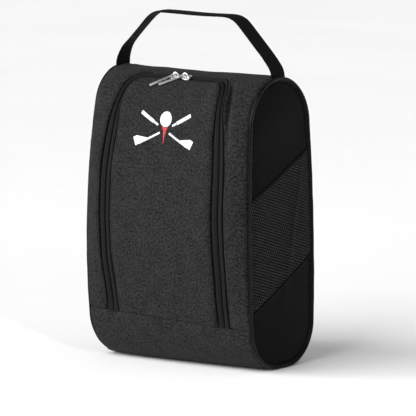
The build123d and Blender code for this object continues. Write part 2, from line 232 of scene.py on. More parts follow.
def surface(x, s, h=0.0):
    """Point on the wrap at x across and s round on the cut cloth, raised by h."""
    x, s, h = np.broadcast_arrays(np.asarray(x, float), np.asarray(s, float), np.asarray(h, float))
    x, s = settle(x, s)
    h = h + swell(x, s)
    w = roll(x)
    y1, z1, ny1, nz1 = WRAP.at(s)
    left, right = [end.at(s * end.half / WRAP.half, END_TUCK[hand]) for hand, end in ENDS.items()]
    y2, z2, ny2, nz2 = [np.where(x < 0, a, b) for a, b in zip(left, right)]
    ny, nz = ny1 * (1 - w) + ny2 * w, nz1 * (1 - w) + nz2 * w
    y, z = y1 * (1 - w) + y2 * w + ny * h, z1 * (1 - w) + z2 * w + nz * h
    y = y + lean(x, z)
    return coords(x, y, np.maximum(z, 0.02))


def zip_distance(x, s):
    """Signed distance from the line of the zip, above 0 outside the U."""
    a, u = np.abs(x), s - S_ZIP
    corner = np.hypot(a - ZIP_FLAT, ZIP_CORNER - u) - ZIP_CORNER
    return np.where(u > ZIP_CORNER, a - ZIP_HALF, np.where(a < ZIP_FLAT, -u, corner))


# ---- Mesh helpers ----
def grid_faces(rows, cols, close_rows=False, close_cols=False, start=0):
    faces = []
    for i in range(rows if close_rows else rows - 1):
        for j in range(cols if close_cols else cols - 1):
            a, b = i * cols + j, i * cols + (j + 1) % cols
            c, d = ((i + 1) % rows) * cols + (j + 1) % cols, ((i + 1) % rows) * cols + j
            faces.append((start + a, start + b, start + c, start + d))
    return faces


def make_object(name, points, faces, material, flat=None):
    """Mesh object from points in millimetres; flat is each point's place on the laid-out cloth."""
    points = np.asarray(points, float).reshape(-1, 3)
    mesh = bpy.data.meshes.new(name)
    mesh.from_pydata((points * MM).tolist(), [], faces)
    mesh.validate()
    flat = points if flat is None else np.asarray(flat, float).reshape(-1, 3)
    layer = mesh.attributes.new("flat", "FLOAT_VECTOR", "POINT")
    layer.data.foreach_set("vector", (flat * MM).astype(np.float32).ravel())
    mesh.polygons.foreach_set("use_smooth", [True] * len(mesh.polygons))
    mesh.materials.append(material)
    piece = bpy.data.objects.new(name, mesh)
    bpy.context.collection.objects.link(piece)
    return piece


def finish_mesh(piece, merge=0.0, thickness=0.0, inner=None, outward=None):
    """Weld, turn the faces outward, and thicken inward with an inner material if one is given."""
    bm = bmesh.new()
    bm.from_mesh(piece.data)
    if merge:
        bmesh.ops.remove_doubles(bm, verts=bm.verts, dist=merge * MM)
    if outward is not None:
        bm.faces.ensure_lookup_table()
        bm.normal_update()
        score = 0.0
        for f in bm.faces:
            score += f.normal.dot(Vector(outward(f.calc_center_median()))) * f.calc_area()
        if score < 0:
            bmesh.ops.reverse_faces(bm, faces=bm.faces)
    bm.to_mesh(piece.data)
    bm.free()
    if thickness:
        if inner:
            piece.data.materials.append(inner)
        solid = piece.modifiers.new("thickness", "SOLIDIFY")
        solid.thickness = thickness * MM
        solid.offset = -1
        solid.material_offset = 1 if inner else 0
        apply_modifiers(piece)
    return piece


def apply_modifiers(piece):
    """Replace a piece's mesh by its final one."""
    bpy.context.view_layer.update()
    graph = bpy.context.evaluated_depsgraph_get()
    done = bpy.data.meshes.new_from_object(piece.evaluated_get(graph))
    piece.modifiers.clear()
    piece.data = done
    return piece


def belongs(piece, slot, body, *nodes):
    """Hide the CAD nodes that a piece stands for, and attach it to the body it rides on. The slot argument
    is not used.
    """
    if nodes:
        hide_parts(*nodes)
    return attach(piece, body) if body else piece


def away_from_middle(p):
    """Way out of the bag at a place on the wrap."""
    return (0.0, p.y, p.z - 0.16)


def steps(start, end, fine, coarse, fine_start=True, fine_end=False):
    """Numbers from start to end, closer together at the chosen ends."""
    length = abs(end - start)
    out, here, gap = [0.0], 0.0, fine if fine_start else coarse
    while here < length:
        to_end = length - here
        gap = min(coarse, gap * 1.35)
        if fine_end:
            gap = min(gap, max(fine, to_end * 0.3))
        here = min(length, here + gap)
        out.append(here)
    out = np.array(out)
    if len(out) > 2 and out[-1] - out[-2] < fine / 2:
        out = np.delete(out, -2)
    return start + np.sign(end - start) * out


# ---- Materials ----
class Shade:
    """Small builder for a procedural material on one Principled shader."""

    def __init__(self, name, **sockets):
        self.material = bpy.data.materials.new(name)
        self.material.use_nodes = True
        self.tree = self.material.node_tree
        self.shader = self.tree.nodes["Principled BSDF"]
        for key, value in sockets.items():
            self.shader.inputs[key.replace("_", " ")].default_value = value

    def node(self, kind, inputs=(), **settings):
        made = self.tree.nodes.new(kind)
        for key, value in settings.items():
            setattr(made, key, value)
        for index, value in dict(inputs).items():
            if isinstance(value, bpy.types.NodeSocket):
                self.tree.links.new(value, made.inputs[index])
            else:
                made.inputs[index].default_value = value
        return made

    def math(self, how, a, b=0.0):
        return self.node("ShaderNodeMath", {0: a, 1: b}, operation=how).outputs[0]

    def add(self, a, b):
        return self.math("ADD", a, b)

    def mul(self, a, b):
        return self.math("MULTIPLY", a, b)

    def flat(self):
        """Place on the laid-out cloth in millimetres, as vector, x and y."""
        place = self.node("ShaderNodeAttribute", attribute_name="flat").outputs["Vector"]
        scale = {0: place, "Scale": 1 / MM}
        scaled = self.node("ShaderNodeVectorMath", scale, operation="SCALE").outputs[0]
        parts = self.node("ShaderNodeSeparateXYZ", {0: scaled}).outputs
        return scaled, parts[0], parts[1]

    def noise(self, vector, size, detail=3.0, rough=0.6):
        inputs = {"Vector": vector, "Scale": 1 / size, "Detail": detail, "Roughness": rough}
        return self.node("ShaderNodeTexNoise", inputs).outputs["Fac"]

    def ramp(self, value, stops):
        made = self.node("ShaderNodeValToRGB", {0: value})
        while len(made.color_ramp.elements) < len(stops):
            made.color_ramp.elements.new(0.5)
        for element, (place, colour) in zip(made.color_ramp.elements, stops):
            element.position = place
            element.color = (*colour, 1.0)
        return made.outputs[0]

    def colour(self, socket):
        self.tree.links.new(socket, self.shader.inputs["Base Color"])

    def rough(self, socket):
        self.tree.links.new(socket, self.shader.inputs["Roughness"])

    def bump(self, height, depth, strength=1.0):
        inputs = {"Height": height, "Distance": depth * MM, "Strength": strength}
        made = self.node("ShaderNodeBump", inputs)
        self.tree.links.new(made.outputs[0], self.shader.inputs["Normal"])


def grey(value, tint=(1.0, 1.0, 1.03)):
    """Dark cloth's grey, a little blue."""
    return tuple(value * t for t in tint)


def even(value):
    """The same value in red, green and blue."""
    return (value, value, value)


def woven(name, dark, light, thread, grain, rough, sheen, depth, mottle, gloss):
    """Plain-woven cloth: crossing threads, speckled uneven yarns and slow mottling."""
    m = Shade(name, Roughness=rough, Sheen_Weight=sheen, Sheen_Roughness=0.45, Specular_IOR_Level=gloss)
    place, x, y = m.flat()
    warp = m.math("SINE", m.mul(x, pi / thread))
    weft = m.math("SINE", m.mul(y, pi / thread))
    weave = m.mul(warp, weft)
    yarn = m.noise(place, grain, 3.0, 0.7)
    speck = m.noise(place, grain * 2.4, 2.0, 0.6)
    slow = m.noise(place, grain * 16, 2.0)
    tone = m.add(m.mul(weave, 0.06), m.mul(yarn, 0.4))
    tone = m.add(tone, m.mul(speck, 0.6))
    tone = m.add(tone, m.mul(m.math("SUBTRACT", slow, 0.5), mottle))
    middle = tuple((a + b) / 2 for a, b in zip(dark, light))
    m.colour(m.ramp(tone, [(0.40, dark), (0.50, middle), (0.60, light)]))
    m.rough(m.ramp(yarn, [(0.3, grey(rough - 0.08)), (0.7, grey(rough + 0.06))]))
    m.bump(m.add(m.mul(weave, 0.5), m.mul(yarn, 1.2)), depth)
    return m.material


def ribbed(name, dark, light, rib, along_y, rough, depth, twill=0.0, gloss=0.10):
    """Narrow woven tape: ribs one way, fine picks the other, with an optional slant."""
    m = Shade(name, Roughness=rough, Sheen_Weight=0.0, Sheen_Roughness=0.4, Specular_IOR_Level=gloss)
    place, x, y = m.flat()
    across, along = (x, y) if along_y else (y, x)
    slant = m.add(across, m.mul(along, twill))
    ribs = m.math("SINE", m.mul(slant, 2 * pi / rib))
    picks = m.math("SINE", m.mul(along, 2 * pi / (rib * 0.6)))
    yarn = m.noise(place, rib, 3.0, 0.7)
    height = m.add(m.mul(ribs, 0.6), m.mul(picks, 0.3))
    tone = m.add(m.mul(height, 0.25), yarn)
    m.colour(m.ramp(tone, [(0.2, dark), (0.8, light)]))
    m.bump(m.add(height, yarn), depth)
    return m.material


def satin_thread(name, dark, light, pitch, slope):
    """Embroidery: long shiny threads side by side."""
    m = Shade(name, Roughness=0.42, Sheen_Weight=0.25, Specular_IOR_Level=0.5)
    place, x, y = m.flat()
    lane = m.add(x, m.mul(y, slope))
    threads = m.math("ABSOLUTE", m.math("SINE", m.mul(lane, pi / pitch)))
    uneven = m.noise(place, 1.2, 3.0)
    m.colour(m.ramp(m.mul(m.add(threads, uneven), 0.6), [(0.1, dark), (0.7, light)]))
    m.bump(m.add(threads, m.mul(uneven, 0.5)), 0.15)
    return m.material


def metal(name, tone, rough):
    """Plated zinc: bright, with faint wear and casting unevenness."""
    m = Shade(name, Metallic=1.0, Roughness=rough)
    place = m.node("ShaderNodeTexCoord").outputs["Object"]
    cloudy = m.noise(place, 4 * MM, 4.0)
    m.colour(m.ramp(cloudy, [(0.35, even(tone * 0.86)), (0.65, even(tone))]))
    worn = m.noise(place, 1.6 * MM, 3.0)
    m.rough(m.ramp(worn, [(0.35, even(rough)), (0.75, even(rough * 2.1))]))
    m.bump(cloudy, 0.05)
    return m.material


def moulded(name, dark, light, rough, grain, depth, gloss=0.5):
    """Plastic or vinyl with a fine grain and slightly uneven gloss."""
    m = Shade(name, Roughness=rough, Specular_IOR_Level=gloss)
    place = m.node("ShaderNodeTexCoord").outputs["Object"]
    fine = m.noise(place, grain * MM, 3.0)
    slow = m.noise(place, grain * MM * 14, 2.0)
    m.colour(m.ramp(slow, [(0.3, dark), (0.7, light)]))
    m.rough(m.ramp(slow, [(0.3, even(rough * 0.8)), (0.7, even(rough * 1.35))]))
    m.bump(fine, depth)
    return m.material


# Lengths here (thread, grain, rib, depth, pitch) are millimetres, as in the shapes.
body_cloth = woven("body_fabric", grey(0.004), grey(0.028), thread=0.62, grain=1.0, rough=0.85,
                   sheen=0.02, depth=0.16, mottle=0.14, gloss=0.10)
lining = woven("lining", grey(0.003), grey(0.008), thread=0.35, grain=0.9, rough=0.70,
               sheen=0.0, depth=0.05, mottle=0.1, gloss=0.10)
side_cloth = woven("side_cloth", grey(0.0015), grey(0.0035), thread=0.30, grain=0.8, rough=0.55,
                   sheen=0.0, depth=0.03, mottle=0.2, gloss=0.05)
mesh_yarn = woven("spacer_mesh", grey(0.006), grey(0.036), thread=0.45, grain=0.7, rough=0.60,
                  sheen=0.0, depth=0.06, mottle=0.2, gloss=0.20)
label_cloth = woven("label_cloth", grey(0.66), grey(0.78), thread=0.30, grain=0.7, rough=0.45,
                    sheen=0.1, depth=0.03, mottle=0.1, gloss=0.2)
vinyl = moulded("piping", grey(0.0015), grey(0.003), rough=0.24, grain=0.5, depth=0.02, gloss=0.12)
core_plastic = moulded("piping_core", grey(0.28), grey(0.33), rough=0.5, grain=0.6, depth=0.03)
board_plastic = moulded("stiffener_sheet", grey(0.030), grey(0.045), rough=0.42, grain=0.9, depth=0.06)
coil_plastic = moulded("zip_coil", grey(0.003), grey(0.007), rough=0.34, grain=0.3, depth=0.02, gloss=0.3)
tape_cloth = ribbed("zip_tape", grey(0.002), grey(0.013), rib=0.9, along_y=True, rough=0.62, depth=0.12)
binding_cloth = ribbed("binding_tape", grey(0.005), grey(0.014), rib=1.1, along_y=False, rough=0.68,
                       depth=0.12)
webbing_cloth = ribbed("webbing", grey(0.004), grey(0.013), rib=1.7, along_y=True, rough=0.55,
                       depth=0.25, twill=0.5, gloss=0.01)
thread_dark = ribbed("sewing_thread", grey(0.004), grey(0.022), rib=0.35, along_y=False, rough=0.50,
                     depth=0.06, twill=0.8)
white_thread = satin_thread("emblem_white", grey(0.62), grey(0.86), pitch=0.42, slope=0.15)
red_thread = satin_thread("emblem_red", (0.36, 0.008, 0.012), (0.62, 0.018, 0.028), pitch=0.42, slope=0.15)
plated = metal("slider_metal", tone=0.95, rough=0.28)


# ---- Padded wrap ----
EDGE_ROUND = 2.2
UNDER_PIPING = 0.9
SLOW_WAVE, QUICK_WAVE = 0.45, 0.16
SEAM_PUCKER, SEAM_SINK = 0.34, 1.4
PIPED_PUCKER, PIPED_SINK = 0.45, 1.5
HEM_PUFF, CORNER_PUFF = 0.5, 0.7
FOLD_DEPTH, FOLD_START, FOLD_STEEP, FOLD_EASE, FOLD_LIFT = 7.5, 0.9, 2.4, 8, 1.5


def cloth_height(x, s):
    """Soft unevenness of the padded cloth: waves, seam grooves and puckers."""
    calm = 1 - near(s - S_ZIP - 4, 18) * (np.abs(x) < 60)
    h = SLOW_WAVE * waves(x, s, 110, 6, 3) * calm + QUICK_WAVE * waves(x, s, 34, 7, 4) * calm
    pucker = waves(x, s * 0.12, 9, 5, 5)
    for seam in (S_SEAM, S_BACK, 2 * WRAP.half - S_SEAM, -S_SEAM):
        d = np.abs(s - seam)
        h = h + SEAM_PUCKER * pucker * near(d, 9) - SEAM_SINK * near(d, 1.3)
    edge = WRAP_HALF_X - np.abs(x)
    h = h + PIPED_PUCKER * waves(x * 0.15, s, 13, 5, 6) * near(edge - 6, 7)
    return h - PIPED_SINK * near(edge - 0.4, 1.4)


def folded_edge(e, soft, radius=EDGE_ROUND):
    """Drop of a folded hem at distance e in from its edge."""
    inside = np.clip(radius - e, 0, radius)
    return radius - np.sqrt(np.clip(radius**2 - inside**2, 0, None)) + soft * near(e, 5)


def cloth_grid(xs, rows_of, height):
    """One cloth patch: columns at xs, and for each column its own run of s."""
    columns = [rows_of(x) for x in xs]
    x = np.repeat(np.asarray(xs)[:, None], len(columns[0]), 1)
    s = np.array(columns)
    points = surface(x, s, height(x, s))
    flat = coords(x, s, 0 * x)
    return points.reshape(-1, 3), grid_faces(len(xs), len(columns[0])), flat.reshape(-1, 3)


def make_cloth(name, patches, weld, node, body="bag"):
    """One padded piece of the wrap from its patches, lined on its inside."""
    points, faces, flats, start = [], [], [], 0
    for p, f, flat in patches:
        points.append(p)
        flats.append(flat)
        faces += [tuple(i + start for i in face) for face in f]
        start += len(p)
    piece = make_object(name, np.concatenate(points), faces, body_cloth, np.concatenate(flats))
    finish_mesh(piece, weld, THICK, lining, away_from_middle)
    return belongs(piece, "body_fabric", body, node)


def mirrored(xs):
    return np.concatenate([-np.asarray(xs)[::-1], np.asarray(xs)])


def without_repeats(xs):
    xs = np.sort(np.asarray(xs))
    return xs[np.insert(np.diff(xs) > 1e-6, 0, True)]


def opening_columns(offset):
    """Columns of x that follow the U's rounded corner, moved out by offset."""
    r = ZIP_CORNER + offset
    turns = np.radians(np.linspace(0, 90, 19))
    columns = np.concatenate([np.linspace(0, ZIP_FLAT, 24), ZIP_FLAT + r * np.sin(turns)])
    return without_repeats(mirrored(columns))


def opening_top(x, offset):
    """s of the U's top edge at x, moved out by offset."""
    r = ZIP_CORNER + offset
    a = min(max(abs(x) - ZIP_FLAT, 0.0), r)
    return S_ZIP - offset + r - np.sqrt(r**2 - a**2)


def flap_height(x, s):
    """The flap's cloth, a little fuller along its hem and in its two corners."""
    e = -ZIP_OPEN - zip_distance(x, s)
    puff = HEM_PUFF * near(e - 9, 7) * smooth((s - S_ZIP - 30) / 30)
    corner = near(np.hypot(np.abs(x) - 56, s - S_ZIP - 14), 20)
    return cloth_height(x, s) + puff + CORNER_PUFF * corner * near(e - 6, 6) - folded_edge(e, 0.5)


def frame_height(x, s):
    """The cloth round the zip, with a deep fold beside the zip's top right."""
    e = zip_distance(x, s) - ZIP_OPEN
    fold_run = near(s - S_ZIP - 34, 30) * smooth((s - S_ZIP - 2) / 12) * (x > 0)
    wall = smooth((e - FOLD_START) / FOLD_STEEP)
    rise = 1 - smooth((e - FOLD_START - FOLD_STEEP) / FOLD_EASE)
    fold = FOLD_DEPTH * wall * rise * fold_run
    lift = FOLD_LIFT * near(e - 12, 5) * fold_run
    outer_fold = 0.9 * near(s - S_SEAM + 40, 40) * near(e - 6, 2.5) * (x < 0)
    foot = 1.2 * near(s - S_SEAM, 34) * near(e, 4)
    crease = 1.0 * near(x - 90 + (s - S_ZIP - 16) * 0.6, 3.5) * near(s - S_ZIP - 10, 18)
    ripples = 0.35 * waves(x * 0.4, s, 17, 5, 8) * near(x - 94, 16) * near(s - S_ZIP - 60, 70)
    sunk = folded_edge(e, 0.6) + fold + outer_fold + foot
    return cloth_height(x, s) - sunk + lift + crease + ripples


def base_height(x, s):
    """The base cloth, gathered where the zip's feet and the piping are sewn in."""
    a = np.abs(x)
    near_foot = near(a - ZIP_HALF, 9)
    pucker = (0.9 * waves(x, s * 0.1, 7, 5, 15) - 0.8) * near_foot * near(s - S_SEAM - 3, 8)
    end_pucker = 0.5 * waves(x, s * 0.1, 6, 5, 16) * near(x - 92, 9) * near(s - S_SEAM - 3, 9)
    return cloth_height(x, s) + pucker + end_pucker


def make_flap():
    """The front cloth inside the U of the zip, down to the base seam."""
    xs = opening_columns(-ZIP_OPEN)

    def rows(x):
        top = opening_top(x, -ZIP_OPEN)
        run = steps(0, 1, 0.0016, 0.0115, True, True)
        return top + (S_SEAM - top) * run

    patch = cloth_grid(xs, rows, flap_height)
    return make_cloth("flap_cloth", [patch], 0.001, "flap_panel", None)


def edge_columns():
    """Columns of x down the strip beside the zip, the last one under the piping."""
    columns = steps(ZIP_HALF + ZIP_OPEN, WRAP_HALF_X, 0.35, 1.6, True, True)
    return np.append(columns, WRAP_HALF_X + UNDER_PIPING)


def make_frame_cloth():
    """The header over the top and the strip down each side of the zip, in one piece."""
    inner = opening_columns(ZIP_OPEN)
    outer = edge_columns()
    xs = without_repeats(np.concatenate([inner, outer, -outer]))
    run = 1 - steps(0, 1, 0.006, 0.035, True, False)[::-1]
    turn_s = S_ZIP + ZIP_CORNER

    def header_rows(x):
        end = turn_s if abs(x) >= ZIP_HALF + ZIP_OPEN - 1e-6 else opening_top(x, ZIP_OPEN)
        return S_BACK + (end - S_BACK) * run

    def strip_rows(x):
        return steps(turn_s, S_SEAM, 1.2, 2.6, False, True)

    patches = [cloth_grid(xs, header_rows, frame_height)]
    for side in (-1, 1):
        strip = np.sort(side * outer)
        patches.append(cloth_grid(strip, strip_rows, frame_height))
    return make_cloth("frame_cloth", patches, 0.005, "front_frame_panel")


def make_plain_wrap(name, start, end, height, node):
    """A full-width piece of the wrap between two lengths round the bag."""
    columns = np.append(steps(0, WRAP_HALF_X, 0.8, 1.8, False, True), WRAP_HALF_X + UNDER_PIPING)
    xs = without_repeats(mirrored(columns))
    patch = cloth_grid(xs, lambda x: steps(start, end, 0.5, 2.4, True, True), height)
    return make_cloth(name, [patch], 0.001, node)


# ---- Zip ----
# Heights are measured from the cloth, and distances from the zip's meeting line.
VALLEY, VALLEY_TOP, VALLEY_SLOPE = 4.2, 3.6, 0.62
TAPE_CREST, TAPE_DIVE, GAP_DIVE = 3.9, 5.2, 1.0
SEWN_FROM, SEWN_DEPTH = 5.6, 2.9
TAPE_THICK = 0.5
ZIP_FOOT = S_SEAM + 2.0
FOOT_LIFT = 0.45
SIDE_RUN = ZIP_FOOT - S_ZIP - ZIP_CORNER
CORNER_RUN = ZIP_CORNER * pi / 2
ZIP_LENGTH = 2 * (SIDE_RUN + CORNER_RUN + ZIP_FLAT)


def zip_line(t, d):
    """x and s at length t along the U, d out from its line."""
    t = np.asarray(t, float)
    half = ZIP_LENGTH / 2
    side = np.where(t < half, -1.0, 1.0)
    u = half - np.abs(t - half)
    turn = np.clip((u - SIDE_RUN) / ZIP_CORNER, 0, pi / 2)
    r = ZIP_CORNER + d
    down_side = u < SIDE_RUN
    on_top = u > SIDE_RUN + CORNER_RUN
    x = np.where(down_side, ZIP_HALF + d, ZIP_FLAT + r * np.cos(turn))
    s = np.where(down_side, S_ZIP + ZIP_CORNER + SIDE_RUN - u, S_ZIP + ZIP_CORNER - r * np.sin(turn))
    x = np.where(on_top, half - u, x)
    s = np.where(on_top, S_ZIP - d, s)
    return side * x, s


def foot_share(t):
    """1 at the two lower ends of the zip, 0 from a little way up."""
    return 1 - smooth(np.minimum(t, ZIP_LENGTH - t) / 18)


def valley(t):
    """Depth of the meeting line below the cloth: less along the straight top run."""
    return VALLEY_TOP + (VALLEY - VALLEY_TOP) * smooth((np.abs(t - ZIP_LENGTH / 2) - ZIP_FLAT - 10) / 40)


def tape_height(d, t):
    """Each tape rises from the meeting line to a crest, then dives under the cloth's hem."""
    a = np.abs(d)
    rib = 0.26 * near(a - 1.5, 0.5) + 0.16 * near(a - 3.0, 0.35)
    sag = 0.18 * waves(t, t * 0, 60, 4, 11) * (np.abs(t - ZIP_LENGTH / 2) > ZIP_FLAT)
    rise = -valley(t) + VALLEY_SLOPE * np.minimum(a, TAPE_CREST) + sag
    fold = 2.4 * near(a, 0.42)
    under = smooth((a - TAPE_CREST) / 0.8)
    gap = GAP_DIVE * upper_right(t) * (d > 0)
    n = rise * (1 - under) - (TAPE_DIVE + gap) * under + rib * (1 - under) - fold
    return n * (1 - FOOT_LIFT * foot_share(t))


def upper_right(t):
    """1 along the upper part of the zip's right run, where the cloth has pulled away."""
    u = ZIP_LENGTH - t
    return smooth((u - SIDE_RUN + 48) / 40) * smooth((SIDE_RUN + CORNER_RUN - u) / 20)


def make_tape(name, side, node):
    """One half of the zip's tape, sewn to the underside of the cloth along its outer edge."""
    runs = np.linspace(0, ZIP_LENGTH, 360)
    inner = np.array([0.05, 0.15, 0.3, 0.45, 0.65, 0.9, 1.2, 1.5, 1.8, 2.2, 2.6, 3.0, 3.4, 3.8])
    outer = np.array([4.1, 4.3, 4.5, 4.7, 4.9, 5.3, 6.0, 7.0, 8.2, 9.6])
    out = side * np.concatenate([inner, outer])
    t, d = np.meshgrid(runs, out, indexing="ij")
    x, s = zip_line(t, d)
    cloth = flap_height(x, s) if side < 0 else frame_height(x, s)
    sewn = smooth((np.abs(d) - SEWN_FROM) / 0.9)
    points = surface(x, s, tape_height(d, t) * (1 - sewn) + (cloth - SEWN_DEPTH) * sewn)
    flat = coords(d, t, 0 * d)
    piece = make_object(name, points, grid_faces(len(runs), len(out)), tape_cloth, flat)
    finish_mesh(piece, 0, TAPE_THICK, None, away_from_middle)
    return belongs(piece, "zip_tape", None, node)


COIL_PITCH = 1.25
COIL_WIRE = 0.30
COIL_DROP = 0.75
COIL_MIDDLE, COIL_HALF, COIL_RISE = 2.0, 1.25, 0.62


def make_coil(name, side, node):
    """The spiral of teeth sewn behind one edge of the zip."""
    turns = int(ZIP_LENGTH / COIL_PITCH)
    per_turn, ring = 9, 5
    k = np.arange(turns * per_turn + 1)
    phase = 2 * pi * k / per_turn
    t = np.clip(k * COIL_PITCH / per_turn, 0, ZIP_LENGTH)
    bump = 2 * pi * np.arange(ring) / ring
    a = phase[:, None]
    d = side * (COIL_MIDDLE + (COIL_HALF + COIL_WIRE * np.cos(bump)[None, :]) * np.cos(a))
    middle = -valley(t) * (1 - FOOT_LIFT * foot_share(t)) - COIL_DROP
    n = middle[:, None] + (COIL_RISE + COIL_WIRE * np.cos(bump)[None, :]) * np.sin(a)
    tt = t[:, None] + COIL_WIRE * np.sin(bump)[None, :]
    x, s = zip_line(np.clip(tt, 0, ZIP_LENGTH), d)
    points = surface(x, s, n)
    piece = make_object(name, points, grid_faces(len(k), ring, close_cols=True), coil_plastic)
    return belongs(piece, "zip_coil", None, node)


# ---- Stitches ----
def stitch_row(name, path, up, length=2.9, gap=0.55, width=0.55):
    """Small raised stitches along a path of points; up is the outward direction at each point."""
    path, up = np.asarray(path, float), np.asarray(up, float)
    travelled = np.concatenate([[0], np.cumsum(np.linalg.norm(np.diff(path, axis=0), axis=1))])
    starts = np.arange(gap, travelled[-1] - length, length + gap)
    points, faces, flats = [], [], []
    stations, ring = np.array([0.0, 0.12, 0.35, 0.65, 0.88, 1.0]), 6
    fat = np.sqrt(np.clip(1 - (2 * stations - 1) ** 4, 0, 1)) * 0.5 + 0.06
    for first in starts:
        here = first + stations * length
        p = coords(*[np.interp(here, travelled, path[:, i]) for i in range(3)])
        n = coords(*[np.interp(here, travelled, up[:, i]) for i in range(3)])
        along = p[-1] - p[0]
        along = along / np.linalg.norm(along)
        across = np.cross(along, n[2])
        across = across / np.linalg.norm(across)
        lift = np.cross(across, along)
        angle = 2 * pi * np.arange(ring) / ring
        body = p[:, None, :] + width * fat[:, None, None] * (
            np.cos(angle)[None, :, None] * across + 0.75 * np.sin(angle)[None, :, None] * lift
        )
        body = body + 0.12 * np.sin(pi * stations)[:, None, None] * lift
        faces += grid_faces(len(stations), ring, close_cols=True, start=len(points) * len(stations) * ring)
        points.append(body.reshape(-1, 3))
        along_thread, round_thread = np.repeat(here, ring), np.tile(angle, len(stations)) * 0.3
        flats.append(coords(along_thread, round_thread, 0 * along_thread))
    return make_object(name, np.concatenate(points), faces, thread_dark, np.concatenate(flats))


def make_zip_stitches(name, offset, height):
    """A row of stitches through the cloth, beside the zip all round the U."""
    x, s = zip_line(np.linspace(0, ZIP_LENGTH, 900), offset)
    h = height(x, s)
    path = surface(x, s, h)
    return belongs(stitch_row(name, path, surface(x, s, h + 1.0) - path), "body_fabric", None)


# ---- Side panels ----
MESH_TOP, MESH_TOP_SLOPE = 212.0, radians(24.0)
MESH_BASE, MESH_BASE_SLOPE = 93.0, radians(26.5)
PANEL_INSET = 3.0
SIDE_BULGE = 2.6
SIDE_X = PIPE_X - 0.9
SIDE_SINK = 1.7
SIDE_THICK, VENT_THICK, SEAM_THICK = 1.8, 0.45, 0.6
PAST_PANEL = 60.0
STITCH_IN, STITCH_LIFT = 1.9, 0.80
SIDE_LOOKS, VENT_LOOKS = (side_cloth, "side_cloth"), (mesh_yarn, "spacer_mesh")
VENT_CREASE, CREASE_Y, CREASE_Z, CREASE_LEAN = 1.3, 25, 165, 0.25


def end_loop(end, inset, count=600):
    s = np.linspace(0, 2 * end.half, count, endpoint=False)
    y, z, _, _ = end.at(s, inset)
    return coords(y, z)


PANEL_LOOPS = {hand: end_loop(end, PANEL_INSET) for hand, end in ENDS.items()}


def edge_distance(hand, y, z):
    """Distance in from the side panel's edge."""
    y, z = np.asarray(y, float), np.asarray(z, float)
    gap = np.full(y.shape, 1e9)
    for a, b in PANEL_LOOPS[hand][::3]:
        gap = np.minimum(gap, (y - a) ** 2 + (z - b) ** 2)
    return np.sqrt(gap)


def side_out(hand, y, z):
    """How far the side panel stands out from its seam."""
    e = edge_distance(hand, y, z)
    pull_in = 1 - np.exp(-e / 16)
    gather = 0.35 * waves(y, z, 11, 5, 21) * near(e, 7)
    recess = SIDE_SINK * near(e - 0.4, 1.7)
    from_crease = y - CREASE_Y - CREASE_LEAN * (z - CREASE_Z)
    crease = VENT_CREASE * near(from_crease, 4) * near(z - CREASE_Z, 70)
    full = SIDE_BULGE * pull_in + 0.45 * waves(y, z, 70, 5, 22) * pull_in
    return full + gather - (recess - crease)


def on_side(hand, y, z, lift=0.0):
    """Points on the side panel raised by lift, and the same places laid out flat."""
    x = WAY[hand] * (SIDE_X + side_out(hand, y, z) + lift)
    return coords(x, y + lean(x, z), z), coords(y, z, 0 * z)


def make_side_piece(name, hand, laid, faces, looks, weld, thickness, inner, *nodes):
    """One piece of a side from its laid points, thickened inward; looks is its material and slot."""
    material, slot = looks
    piece = make_object(f"{name}_{hand}", laid[0], faces, material, laid[1])
    finish_mesh(piece, weld, thickness, inner, lambda p: (WAY[hand], 0, 0))
    belongs(piece, slot, "bag", *[f"{node}_{hand}" for node in nodes])


def seam_line(level, slope):
    """Height of a slanting seam at y, as a function."""
    return lambda y: level + y * tan(slope)


def chord(hand, line_of):
    """Where a slanting line crosses the panel's outline: front y and back y, or None."""
    y, z = PANEL_LOOPS[hand].T
    gap = z - line_of(y)
    after, y_after = np.roll(gap, -1), np.roll(y, -1)
    cross = np.where(gap * after < 0)[0]
    if len(cross) < 2:
        return None
    k = gap[cross] / (gap[cross] - after[cross])
    ys = y[cross] * (1 - k) + y_after[cross] * k
    return min(ys), max(ys)


def panel_rows(hand, first, last, slope, count=90):
    """Rows of y, z points across the panel from one level to where its outline ends."""
    rows = []
    across = np.cos(np.linspace(pi, 0, 45)) * 0.5 + 0.5
    for k in np.sin(np.linspace(0, 1, count) * pi / 2):
        level = first + (last - first) * k
        ends = chord(hand, seam_line(level, slope))
        if ends:
            y = ends[0] + (ends[1] - ends[0]) * across
            rows.append(coords(y, level + y * tan(slope)))
    return np.array(rows)


def make_side_panel(name, hand, rows, node):
    laid = on_side(hand, rows[..., 0], rows[..., 1])
    faces = grid_faces(*rows.shape[:2])
    make_side_piece(name, hand, laid, faces, SIDE_LOOKS, 0.001, SIDE_THICK, lining, node)


MESH_PITCH = 3.2
MESH_STRETCH = 1.16
MESH_TILT = radians(-17)
MESH_LEAN = radians(4)
MESH_HOLE = 1.44
MESH_REACH = 130
MESH_UNDER_SEAM, MESH_FROM_EDGE = 1.5, 1.2


